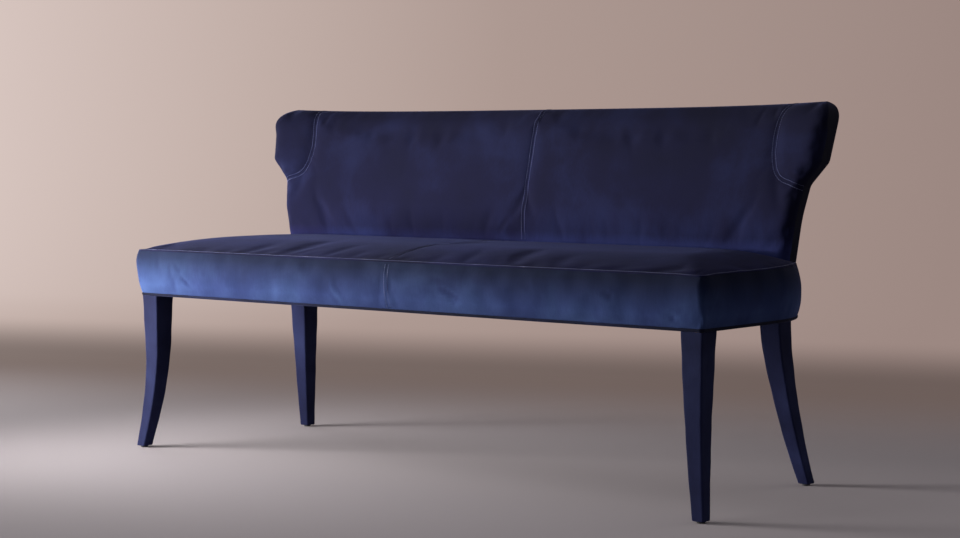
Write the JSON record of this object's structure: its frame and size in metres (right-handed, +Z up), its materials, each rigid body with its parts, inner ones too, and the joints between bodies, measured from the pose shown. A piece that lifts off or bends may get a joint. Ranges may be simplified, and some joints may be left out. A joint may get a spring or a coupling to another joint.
{
  "type": "upholstered banquette bench",
  "caption": "Velvet dining banquette with a crowned boxed seat, a low leaning back with small wings, and velvet-covered sabre legs.",
  "frame": {"origin": "on the floor under the middle of the bench, halfway between the swollen front of the seat and the rear of the back's top", "axes": "+X runs along the bench, to the right as one looks at its front. +Y runs from the front of the seat to the back. +Z is up."},
  "size_m": [1.6404, 0.6086, 0.8269],
  "materials": {
    "black_plastic": "moulded black",
    "dust_cloth": "black non-woven cloth",
    "foam": "polyurethane foam",
    "hardwood": "planed beech",
    "plywood": "sawn plywood",
    "velvet": "dark blue velvet",
    "wadding": "polyester wadding",
    "webbing": "woven elastic webbing",
    "welt_velvet": "velvet-covered piping",
    "zinc_steel": "zinc plated"
  },
  "bodies": {
    "root": {"back_board": "plywood", "back_bolts": "zinc_steel", "back_end_border_left": "velvet", "back_end_border_right": "velvet", "back_foam": "foam", "back_nuts": "zinc_steel", "back_post_centre": "hardwood", "back_post_end_left": "hardwood", "back_post_end_right": "hardwood", "back_post_left": "hardwood", "back_post_right": "hardwood", "back_top_rail": "hardwood", "back_wadding": "wadding", "back_webbing": "webbing", "corner_block_front_left": "hardwood", "corner_block_front_right": "hardwood", "corner_block_rear_left": "hardwood", "corner_block_rear_right": "hardwood", "cross_rail_left": "hardwood", "cross_rail_right": "hardwood", "dust_cover": "dust_cloth", "end_rail_left": "hardwood", "end_rail_right": "hardwood", "frame_dowels": "hardwood", "front_rail": "hardwood", "glides": "black_plastic", "inside_back_cover_left": "velvet", "inside_back_cover_right": "velvet", "leg_bolts": "zinc_steel", "leg_core_front_left": "hardwood", "leg_core_front_right": "hardwood", "leg_core_rear_left": "hardwood", "leg_core_rear_right": "hardwood", "leg_nuts": "zinc_steel", "leg_sleeve_front_left": "velvet", "leg_sleeve_front_right": "velvet", "leg_sleeve_rear_left": "velvet", "leg_sleeve_rear_right": "velvet", "leg_washers": "zinc_steel", "outside_back_cover_left": "velvet", "outside_back_cover_right": "velvet", "rear_rail": "hardwood", "seat_band_left": "velvet", "seat_band_right": "velvet", "seat_edge_foam": "foam", "seat_foam": "foam", "seat_top_cover_left": "velvet", "seat_top_cover_right": "velvet", "seat_wadding": "wadding", "seat_webbing": "webbing", "seat_welt": "welt_velvet", "wing_cover_left": "velvet", "wing_cover_right": "velvet", "wing_foam_left": "foam", "wing_foam_right": "foam", "wing_panel_left": "plywood", "wing_panel_right": "plywood"}
  },
  "joints": []
}
